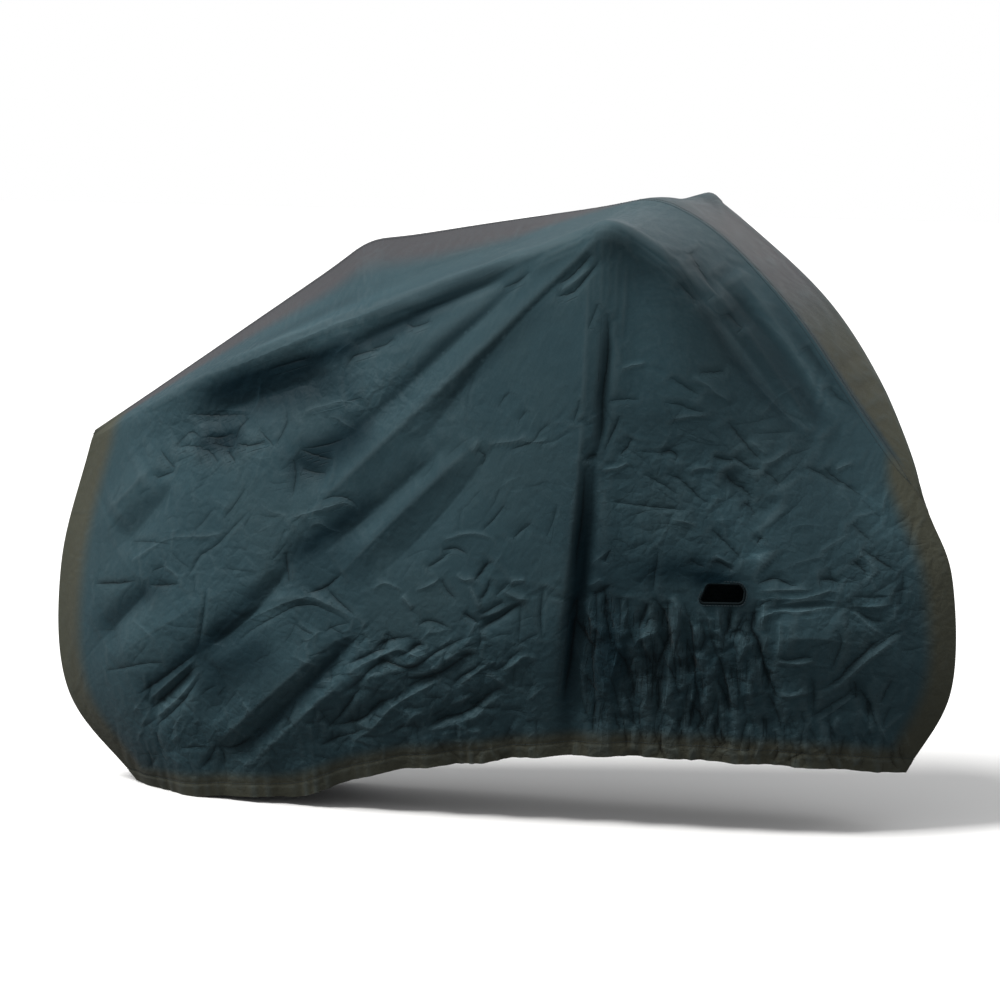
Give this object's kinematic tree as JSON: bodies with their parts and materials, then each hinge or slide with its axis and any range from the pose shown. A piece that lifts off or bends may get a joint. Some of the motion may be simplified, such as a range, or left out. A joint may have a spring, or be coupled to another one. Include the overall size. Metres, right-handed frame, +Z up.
{
  "type": "bicycle cover",
  "caption": "Fitted cloth bicycle cover of two side panels sewn along a centre seam, with a drawn-in elastic hem and a bound lock slot, draped as over a bicycle.",
  "frame": {"origin": "on the ground under the middle of the cover's bounding box", "axes": "+X forwards along the bicycle, +Y to its far side, +Z up; the centre seam lies in the plane Y = 0"},
  "size_m": [1.7177, 0.605, 1.1202],
  "materials": {
    "near_cloth": "dark teal plain-woven polyester, coated, satin, creased from packing",
    "far_cloth": "the same dark woven polyester, a little greyer",
    "binding_tape": "dark matte woven tape, rolled over the slot's edge"
  },
  "bodies": {
    "root": {"near_panel": "near_cloth", "far_panel": "far_cloth", "lock_slot_binding": "binding_tape"}
  },
  "joints": []
}
